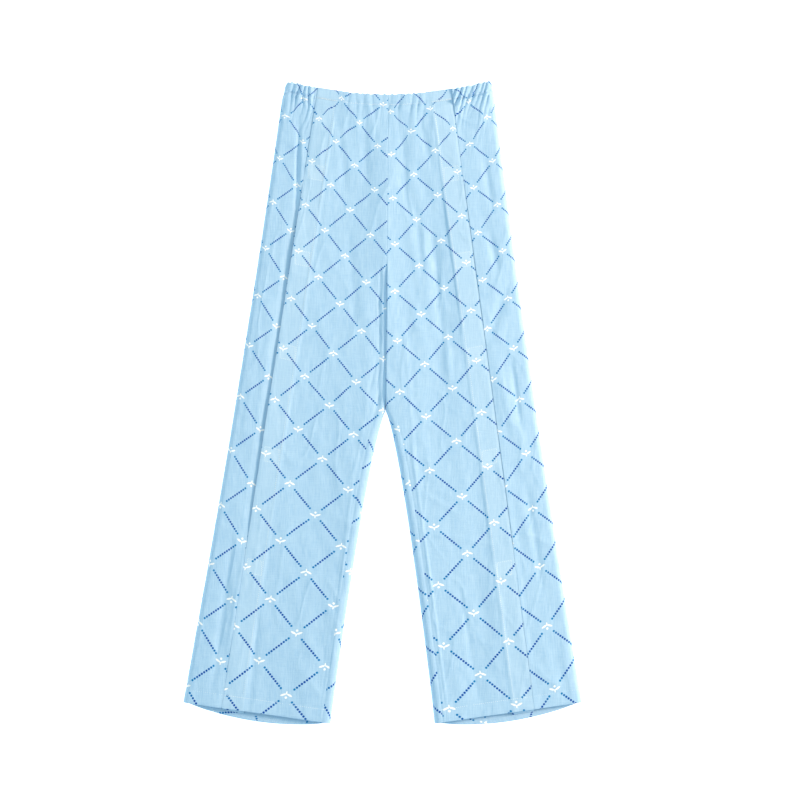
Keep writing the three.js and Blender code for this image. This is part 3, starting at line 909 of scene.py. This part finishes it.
def dots_on_line(recipe, off_line, along):
    """Dots where off_line, the distance from a line, is small, at even steps along it."""
    middle = recipe.maths("SUBTRACT", recipe.maths("FRACT", along), 0.5)
    steps = recipe.maths("FRACT", recipe.maths("DIVIDE", middle, DOT_STEP))
    gap = recipe.maths("MULTIPLY", recipe.maths("SUBTRACT", steps, 0.5), DOT_STEP)
    square = recipe.maths("ADD", recipe.maths("POWER", off_line, 2.0), recipe.maths("POWER", gap, 2.0))
    near = recipe.band(recipe.maths("SQRT", square), DOT_RADIUS * 0.9, DOT_RADIUS * 1.1)
    inside = recipe.maths("LESS_THAN", recipe.maths("ABSOLUTE", middle), DOTS_REACH)
    return recipe.maths("MULTIPLY", near, inside), recipe.maths("ABSOLUTE", middle)


def sprig(recipe, across, up):
    """1 inside the sprig's leaves. Across and up are in cells from its middle."""
    mirrored = recipe.maths("ABSOLUTE", across)
    shape = 0.0
    for centre_x, centre_y, lean, half_length, half_width in SPRIG:
        dx = recipe.maths("SUBTRACT", mirrored, centre_x)
        dy = recipe.maths("SUBTRACT", up, centre_y)
        cos, sin = math.cos(lean), math.sin(lean)
        dx_sin, dy_cos = recipe.maths("MULTIPLY", dx, sin), recipe.maths("MULTIPLY", dy, cos)
        dx_cos, dy_sin = recipe.maths("MULTIPLY", dx, cos), recipe.maths("MULTIPLY", dy, sin)
        lengthwise = recipe.maths("ADD", dx_sin, dy_cos)
        sideways = recipe.maths("SUBTRACT", dx_cos, dy_sin)
        a = recipe.maths("POWER", recipe.maths("DIVIDE", lengthwise, half_length), 2.0)
        b = recipe.maths("POWER", recipe.maths("DIVIDE", sideways, half_width), 2.0)
        shape = recipe.maths("MAXIMUM", shape, recipe.band(recipe.maths("ADD", a, b), 0.8, 1.2))
    return shape


def add_print(recipe, cloth_colour, strength):
    """The printed lattice over cloth_colour, with strength 1 on the printed face."""
    _, s, d = recipe.uv("lattice")
    near_s = recipe.maths("SUBTRACT", s, recipe.maths("ROUND", s))
    near_d = recipe.maths("SUBTRACT", d, recipe.maths("ROUND", d))
    on_s, middle_s = dots_on_line(recipe, near_s, d)
    on_d, middle_d = dots_on_line(recipe, near_d, s)
    dots = recipe.maths("MAXIMUM", on_s, on_d)
    middle = recipe.maths("MINIMUM", middle_s, middle_d)
    ink = recipe.blend(recipe.band(middle, 0.12, 0.32), TEAL_INK, NAVY_INK)
    across = recipe.maths("MULTIPLY", recipe.maths("ADD", near_s, near_d), 0.5)
    up = recipe.maths("MULTIPLY", recipe.maths("SUBTRACT", near_s, near_d), 0.5)
    odd = recipe.maths("PINGPONG", recipe.maths("ROUND", d), 1.0)
    way = recipe.maths("SUBTRACT", recipe.maths("MULTIPLY", odd, 2.0), 1.0)
    motif = sprig(recipe, across, recipe.maths("MULTIPLY", up, way))
    inked = recipe.blend(recipe.maths("MULTIPLY", dots, strength), cloth_colour, ink)
    return recipe.blend(recipe.maths("MULTIPLY", motif, strength * 0.95), inked, (0.93, 0.95, 0.97, 1))


# %% Cotton, printed face and reverse
YARN = 0.55 * MM
SKY = (0.378, 0.600, 0.825, 1)
SKY_LIGHT = (0.425, 0.645, 0.855, 1)
SKY_DEEP = (0.330, 0.555, 0.795, 1)
PALE_SKY = (0.560, 0.755, 0.915, 1)  # where white tape lies close behind the cloth


def cotton(name, print_strength, lighter=0.0):
    recipe = Recipe(name)
    cloth, across, along = recipe.uv("cloth")
    weft = recipe.noise(cloth, (60, 620, 1), 3.0)
    warp = recipe.noise(cloth, (620, 45, 1), 3.0)
    slubs = recipe.maths("ADD", recipe.maths("MULTIPLY", weft, 0.7), recipe.maths("MULTIPLY", warp, 1.3))
    dye = recipe.noise(cloth, (22, 22, 1), 4.0)
    tone = recipe.blend(recipe.band(slubs, 0.78, 1.22), SKY_LIGHT, SKY_DEEP)
    tone = recipe.blend(recipe.maths("MULTIPLY", dye, 0.45), tone, SKY)
    if print_strength == 1.0:
        _, aside, beside = recipe.uv("closure")
        aside = recipe.maths("ABSOLUTE", aside)
        half = PATCH_SIZE / 2
        square = recipe.maths("MAXIMUM", aside, beside)
        band = recipe.maths("MULTIPLY", recipe.band(aside, 0.0155, 0.0165), 0.15)
        patch = recipe.maths("MULTIPLY", recipe.band(square, half - 0.0004, half + 0.0004), 0.36)
        tone = recipe.blend(recipe.maths("MAXIMUM", band, patch), tone, PALE_SKY)
    tone = recipe.blend(lighter, tone, (0.66, 0.83, 0.94, 1))
    recipe.feed(recipe.shader.inputs["Base Color"], add_print(recipe, tone, print_strength))
    recipe.shader.inputs["Roughness"].default_value = 0.88
    recipe.shader.inputs["Sheen Weight"].default_value = 0.06
    recipe.shader.inputs["Sheen Roughness"].default_value = 0.5
    recipe.shader.inputs["Specular IOR Level"].default_value = 0.12
    turn = 2 * math.pi / YARN
    over = recipe.maths("SINE", recipe.maths("MULTIPLY", across, turn))
    under = recipe.maths("SINE", recipe.maths("MULTIPLY", along, turn))
    weave = recipe.maths("MULTIPLY", recipe.maths("MULTIPLY", over, under), 0.25)
    recipe.bump(recipe.maths("ADD", weave, slubs), 0.25 * MM, 0.6)
    return recipe.material


printed = cotton("printed cotton", 1.0)
reverse = cotton("reverse of the cotton", 0.22, 0.25)
print("nodes in the print", len(printed.node_tree.nodes))

# %% [markdown]
# Thin cloth still has two faces and an edge. A Solidify modifier gives each sheet its thickness, and its
# second material slot puts the pale reverse of the print on the inner face.

# %% Give the sheets thickness
def thicken(sheet, outside, inside, thickness=CLOTH):
    sheet.data.materials.append(outside)
    sheet.data.materials.append(inside)
    wall = sheet.modifiers.new("thickness", "SOLIDIFY")
    wall.thickness = thickness
    wall.offset = -1
    wall.material_offset = 1
    wall.material_offset_rim = 0
    return sheet


def face_outward(sheet, upward):
    """Turn the faces so that the first front face of the middle of the sheet looks up, or down."""
    middle = sheet.data.polygons[len(sheet.data.polygons) // 2]
    if (middle.normal.z > 0) != upward:
        sheet.data.flip_normals()


for name in SIDES:
    face_outward(fronts[name], True)
    thicken(fronts[name], printed, reverse)
    middle = backs[name].data.polygons[len(backs[name].data.polygons) // 2]
    face_outward(backs[name], middle.center.z > 8 * MM)
    thicken(backs[name], printed, reverse)

# %% Fasten the backs to the frame, and hide the solids that the sheets replace
BEND = 4 * MM
joints = {joint["child"]: joint for joint in frame["joints"]}
for name, side in SIDES.items():
    hinge = joints[f"flap_{name}"]
    line, centre = Vector(hinge["axis"]), Vector(hinge["pos_m"])
    outward = Vector((line.y, -line.x, 0)).normalized()
    outward *= side["sign"] if outward.x > 0 else -side["sign"]
    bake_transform(fronts[name])
    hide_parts(f"front_panel_{name}", f"front_flap_{name}")
    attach(backs[name], "trousers")
    back_nodes = [f"{part}_{name}" for part in ("back_panel", "side_fold", "underlap", "inseam")]
    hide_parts(*back_nodes)

# %% [markdown]
# ## Facings
#
# A strip of the same cotton, turned with its reverse outward, stiffens the flap's edge and the underlap
# where the tapes are sewn on. It is a plain strip, so it is laid like the panels, with fewer columns.

# %% Facings
FACING_TOP = CASING_DEPTH + 2 * MM
FACING_ENDS = FRONT_LENGTH - HEM_DEPTH - 2 * MM
FLAP_FACING_LEVEL = 17.75 * MM
UNDERLAP_FACING_LEVEL = 12.3 * MM


def facing_sheet(name, side_name, side, first, top, level):
    """A strip of facing from the line first(t) outward, whose upper face lies at level."""
    t = np.linspace(top, FACING_ENDS, 240)[:, None] / FRONT_LENGTH * np.ones(13)
    u = first(side, t) + np.linspace(0, FACING_WIDTH - 0.3 * MM, 13)
    x, y = place(side, t, u)
    z = level + 0.25 * cockle(x, y, 71)
    maps = {"lattice": lattice("front", side_name, x, y), "cloth": np.stack([x, y], -1)}
    facing = lay_sheet(name, np.stack([x, y, z], -1), maps)
    face_outward(facing, True)
    return thicken(facing, reverse, reverse)


def facing_start(side, t):
    return flap_edge(side, t) - FACING_WIDTH


facings = {}
for name, side in SIDES.items():
    flap_facing = facing_sheet(f"flap_facing_{name}", name, side, facing_start, 1 * MM, FLAP_FACING_LEVEL)
    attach(flap_facing, f"flap_{name}")
    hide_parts(f"placket_facing_{name}")
    lip_facing = facing_sheet(
        f"underlap_facing_sheet_{name}", name, side, lip_end, FACING_TOP, UNDERLAP_FACING_LEVEL)
    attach(lip_facing, "trousers")
    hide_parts(f"underlap_facing_{name}")
    facings[name] = (flap_facing, lip_facing)
print("facings", [facing.name for pair in facings.values() for facing in pair])

# %% [markdown]
# ## Hook-and-loop squares
#
# Each closure is a square of woven tape on the flap's facing, set with stiff little hooks, and one on the
# underlap with a brushed pile of loops. Real hooks can be drawn as curved wires, but there are hundreds, so
# each is one small leaning cone, and each loop a flattened bead.

# %% Tape materials
def tape_material(name, colour, roughness, rib):
    recipe = Recipe(name)
    where = recipe.nodes.new("ShaderNodeTexCoord").outputs["Object"]
    grain = recipe.noise(where, (1 / rib, 0.3 / rib, 1 / rib), 2.0)
    shade = tuple(0.86 * part for part in colour)
    tone = recipe.blend(recipe.band(grain, 0.35, 0.65), (*colour, 1), (*shade, 1))
    recipe.feed(recipe.shader.inputs["Base Color"], tone)
    recipe.shader.inputs["Roughness"].default_value = roughness
    recipe.bump(grain, 0.15 * MM, 0.5)
    return recipe.material


hook_material = tape_material("hook tape", (0.70, 0.84, 0.93), 0.45, 0.7 * MM)
loop_material = tape_material("loop tape", (0.68, 0.83, 0.93), 0.95, 0.4 * MM)

# %% Tape squares
PAD = 0.5 * MM
PILE_COUNT = 13


def tape_square(name, box, turn, facing_up, material):
    """A bevelled pad with a field of hooks, or of loops, on the side that meets its partner."""
    low, high = box
    bm = bmesh.new()
    bmesh.ops.create_cube(bm, size=1)
    bmesh.ops.scale(bm, verts=bm.verts, vec=(PATCH_SIZE, PATCH_SIZE, PAD))
    uprights = [e for e in bm.edges if abs(e.verts[0].co.z - e.verts[1].co.z) > PAD / 2]
    bevel = {"profile": 0.5, "affect": "EDGES", "material": -1}
    bmesh.ops.bevel(bm, geom=uprights, offset=1.5 * MM, segments=4, **bevel)
    level_edges = [e for e in bm.edges if abs(e.verts[0].co.z - e.verts[1].co.z) < PAD / 4]
    rims = [e for e in level_edges if e.calc_face_angle(0) > 1]
    bmesh.ops.bevel(bm, geom=rims, offset=0.15 * MM, segments=2, **bevel)
    rng = np.random.default_rng(len(name))
    field = (np.arange(PILE_COUNT) - (PILE_COUNT - 1) / 2) * (PATCH_SIZE - 4 * MM) / (PILE_COUNT - 1)
    for i, across in enumerate(field):
        for along in field:
            spot = Matrix.Translation((across, along, PAD / 2 + 0.22 * MM))
            if facing_up:
                turned = Matrix.Rotation(rng.uniform(0, math.pi), 4, "Z")
                bead = spot @ turned @ Matrix.Diagonal((1.5, 0.8, 0.7, 1))
                bmesh.ops.create_icosphere(bm, subdivisions=1, radius=0.55 * MM, matrix=bead)
            else:
                lean = Matrix.Rotation(0.45 if i % 2 else -0.45, 4, "Y")
                bmesh.ops.create_cone(
                    bm, segments=5, cap_ends=True, radius1=0.34 * MM, radius2=0.18 * MM, depth=0.6 * MM,
                    matrix=spot @ lean)
    flip = Matrix.Identity(4) if facing_up else Matrix.Rotation(math.pi, 4, "X")
    level = low.z + PAD / 2 if facing_up else high.z - PAD / 2
    centre = (low + high) / 2
    bmesh.ops.transform(
        bm, matrix=Matrix.Translation((centre.x, centre.y, level)) @ Matrix.Rotation(turn, 4, "Z") @ flip,
        verts=bm.verts)
    piece = new_piece(name, bm, smooth_faces=False)
    piece.data.materials.append(material)
    return piece


for name, side in SIDES.items():
    top_x, top_y = place(side, 0.0, flap_edge(side, 0.0))
    end_x, end_y = place(side, 1.0, flap_edge(side, 1.0))
    turn = math.atan2(top_y - end_y, top_x - end_x) - math.pi / 2
    for number in range(1, PATCH_COUNT + 1):
        for kind, body, up, material in (
            ("hook", f"flap_{name}", False, hook_material),
            ("loop", "trousers", True, loop_material),
        ):
            node = f"{kind}_square_{name}_{number}"
            square = tape_square(f"{kind}_tape_{name}_{number}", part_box(node), turn, up, material)
            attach(square, body)
            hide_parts(node)

# %% [markdown]
# ## Stitching
#
# A line of stitching is a row of short stitches that each sink at both ends. One flattened bead stands for
# a stitch, and it lies on the cloth's own height, so that it follows every fold. A single tube would be
# lighter, but it would read as a cord.

# %% Stitches
STITCH_PITCH = 3.1 * MM
STITCH_LENGTH = 2.3 * MM
STITCH_WIDTH = 0.78 * MM

thread = tape_material("sewing thread", (0.86, 0.93, 0.97), 0.6, 0.5 * MM)


def stitch_line(bm, line, pitch=STITCH_PITCH):
    """Adds one bead for each stitch along line, an array of points on the cloth."""
    step = np.linalg.norm(np.diff(line, axis=0), axis=1)
    run = np.concatenate([[0], np.cumsum(step)])
    count = max(1, int(run[-1] // pitch))
    starts = (np.arange(count) + 0.5) * run[-1] / count
    for start in starts:
        ends = [np.array([np.interp(start + half, run, line[:, k]) for k in range(3)])
                for half in (-STITCH_LENGTH / 2, STITCH_LENGTH / 2)]
        along = Vector(ends[1] - ends[0])
        middle = Vector((ends[0] + ends[1]) / 2)
        turn = along.to_track_quat("X", "Z").to_matrix().to_4x4()
        shape = Matrix.Diagonal((STITCH_LENGTH / STITCH_WIDTH, 1, 0.7, 1))
        bmesh.ops.create_icosphere(
            bm, subdivisions=1, radius=STITCH_WIDTH / 2, matrix=Matrix.Translation(middle) @ turn @ shape)


def stitched(name, node, body, lines, pitch=STITCH_PITCH):
    bm = bmesh.new()
    for line in lines:
        stitch_line(bm, line, pitch)
    piece = new_piece(name, bm)
    piece.data.materials.append(thread)
    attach(piece, body)
    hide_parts(node)
    return piece


def on_cloth(side, height, t, u, lift=0.05 * MM):
    """Points of a line on the cloth. t and u are numbers or arrays of one length."""
    t, u = np.broadcast_arrays(np.asarray(t, float), np.asarray(u, float))
    x, y = place(side, t, u)
    return np.stack([x, y, height(side, t, u) + lift], -1)


# %% Lines of stitching
CASING_LINE = (CASING_DEPTH - 1.5 * MM) / FRONT_LENGTH
HEM_LINE = 1 - (HEM_DEPTH - 1.5 * MM) / FRONT_LENGTH
NEAR_EDGE = 1.5 * MM
IN_SEAM = 2.2 * MM  # inner edge of the leg to the seam's hidden stitches
LONG_PITCH = 4 * MM  # of the hidden stitches in the seams
SUNK = -0.14 * MM  # stitches in matching thread, drawn down into the cloth
DOWN = np.linspace(FACING_TOP, FACING_ENDS, 300) / FRONT_LENGTH


def back_line(side, t, depth=0.0):
    """A row of the back's outer face as points, from the seam round to the underlap's end."""
    u, z, inside_u, inside_z = back_path(side, t)
    u, z = u + inside_u * depth, z + inside_z * depth
    x, y = place(side, np.full(len(u), t), u, hem_droop(u, z))
    return np.stack([x, y, z], -1)


def square_outline(side, number):
    """Four edges of fine stitching round a hook square, sunk in the flap's upper face."""
    t = (PATCH_FIRST + PATCH_PITCH * number + PATCH_SPREAD * number ** 2) / FRONT_LENGTH
    reach = PATCH_SIZE / 2 - NEAR_EDGE
    middle = flap_edge(side, t) - PATCH_INSET
    run = np.linspace(-reach, reach, 12)
    down = run / FRONT_LENGTH
    return [
        on_cloth(side, front_height, t - reach / FRONT_LENGTH, middle + run, SUNK),
        on_cloth(side, front_height, t + reach / FRONT_LENGTH, middle + run, SUNK),
        on_cloth(side, front_height, t + down, middle - reach, SUNK),
        on_cloth(side, front_height, t + down, middle + reach, SUNK),
    ]


for name, side in SIDES.items():
    casing_u = np.linspace(1 * MM, fold_line(side, CASING_LINE) - BEND, 60)
    stitched(f"casing_stitches_front_{name}", f"casing_thread_front_{name}", "trousers",
             [on_cloth(side, front_height, CASING_LINE, casing_u)])
    stitched(f"casing_stitches_back_{name}", f"casing_thread_back_{name}", "trousers",
             [back_line(side, CASING_LINE)])
    hem_u = np.linspace(inner(HEM_LINE) + 9 * MM, fold_line(side, HEM_LINE) - BEND, 60)
    stitched(f"hem_stitches_front_{name}", f"hem_thread_front_{name}", "trousers",
             [on_cloth(side, front_height, HEM_LINE, hem_u)])
    flap_u = np.linspace(fold_line(side, HEM_LINE) + BEND, flap_edge(side, HEM_LINE) - 1 * MM, 40)
    stitched(f"hem_stitches_flap_{name}", f"hem_thread_flap_{name}", f"flap_{name}",
             [on_cloth(side, front_height, HEM_LINE, flap_u)])
    stitched(f"hem_stitches_back_{name}", f"hem_thread_back_{name}", "trousers",
             [back_line(side, HEM_LINE)])
    placket = on_cloth(side, front_height, DOWN, flap_edge(side, DOWN) - FACING_WIDTH + NEAR_EDGE, SUNK)
    squares = [edge for number in range(PATCH_COUNT) for edge in square_outline(side, number)]
    end_u = np.linspace(fold_line(side, CASING_LINE) + BEND, flap_edge(side, CASING_LINE) - 1 * MM, 20)
    flap_end = on_cloth(side, front_height, CASING_LINE, end_u)
    stitched(f"placket_stitches_{name}", f"placket_thread_{name}", f"flap_{name}",
             [placket, flap_end, *squares])
    underlap = on_cloth(side, wrap_height, DOWN, lip_end(side, DOWN) + FACING_WIDTH - NEAR_EDGE)
    stitched(f"underlap_stitches_{name}", f"underlap_thread_{name}", "trousers", [underlap])
    leg = np.linspace(CROTCH + 0.01, FACING_ENDS / FRONT_LENGTH, 120)
    x, y = place(side, leg, inner(leg) + IN_SEAM)
    inseam = np.stack([x, y, seam_level(leg)], -1)
    stitched(f"inseam_stitches_{name}", f"inseam_thread_{name}", "trousers", [inseam], LONG_PITCH)

rise = np.linspace(CASING_DEPTH, (CROTCH - 0.06) * FRONT_LENGTH, 100) / FRONT_LENGTH
for kind, level in (("front", 17.0 * MM), ("back", 2.4 * MM)):
    x, y = place(SIDES["left"], rise, 0 * rise)
    line = np.stack([x, y, 0 * x + level], -1)
    stitched(f"rise_stitches_{kind}", f"rise_thread_{kind}", "trousers", [line], LONG_PITCH)

# %% [markdown]
# ## Elastic
#
# A flat braided elastic lies inside the casing and gathers it. The band is a strip with fine ribs along it,
# laid half-way between the casing's two layers, and it goes round the side with the back.

# %% Elastic band
ELASTIC_WIDTH = 12 * MM
ELASTIC_DEPTH = 2.0 * MM  # below the casing's outer face
ELASTIC_TOP = 2 * MM  # below the casing's top edge
RIBS = 6


def elastic_material():
    recipe = Recipe("elastic")
    _, across, _ = recipe.uv("cloth")
    braid = recipe.maths("SINE", recipe.maths("MULTIPLY", across, 2 * math.pi / (1.2 * MM)))
    tone = recipe.blend(recipe.band(braid, -0.4, 0.6), (0.93, 0.93, 0.92, 1), (0.80, 0.80, 0.80, 1))
    recipe.feed(recipe.shader.inputs["Base Color"], tone)
    recipe.shader.inputs["Roughness"].default_value = 0.8
    recipe.bump(braid, 0.15 * MM, 0.6)
    return recipe.material


def elastic_band(name, node, row):
    """A ribbed band whose rows are row(t), from the casing's top to the stitching."""
    depths = np.linspace(ELASTIC_TOP, ELASTIC_TOP + ELASTIC_WIDTH, 2 * RIBS + 1)
    points = np.array([row(depth / FRONT_LENGTH) for depth in depths])
    points[1::2, :, 2] += 0.25 * MM
    run = np.concatenate([[0], np.cumsum(np.linalg.norm(np.diff(points[0], axis=0), axis=1))])
    along, across = np.meshgrid(run, depths)
    maps = {"cloth": np.stack([along, across], -1)}
    band = lay_sheet(name, points, maps)
    face_outward(band, True)
    thicken(band, elastic, elastic, 0.8 * MM)
    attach(band, "trousers")
    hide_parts(node)
    return band, float(run[-1])


def front_elastic_row(t):
    halves = []
    for name in ("right", "left"):
        side = SIDES[name]
        u = np.linspace(0, fold_line(side, t) - 2 * MM, 60)
        half = on_cloth(side, front_height, t, u, -ELASTIC_DEPTH)
        halves.append(half[::-1] if name == "right" else half[1:])
    return np.concatenate(halves)


def back_elastic_row(t):
    right = back_line(SIDES["right"], t, ELASTIC_DEPTH)[BACK_ARC:][::-1]
    left = back_line(SIDES["left"], t, ELASTIC_DEPTH)[BACK_ARC:]
    return np.concatenate([right, left])


elastic = elastic_material()
bands = [
    elastic_band("elastic_front", "waist_elastic_front", front_elastic_row),
    elastic_band("elastic_back", "waist_elastic_back", back_elastic_row),
]
print("elastic lengths", [round(length, 3) for _, length in bands])

# %% [markdown]
# ## What each sheet was cut to
#
# A sheet's cut is its flat size before it was folded and gathered. A front is cut 240 mm wide and 1037 mm
# long with its turnings. A back is cut 440 mm wide, because it goes round the side and under the flap.

for name in SIDES:
    flap_facing, lip_facing = facings[name]
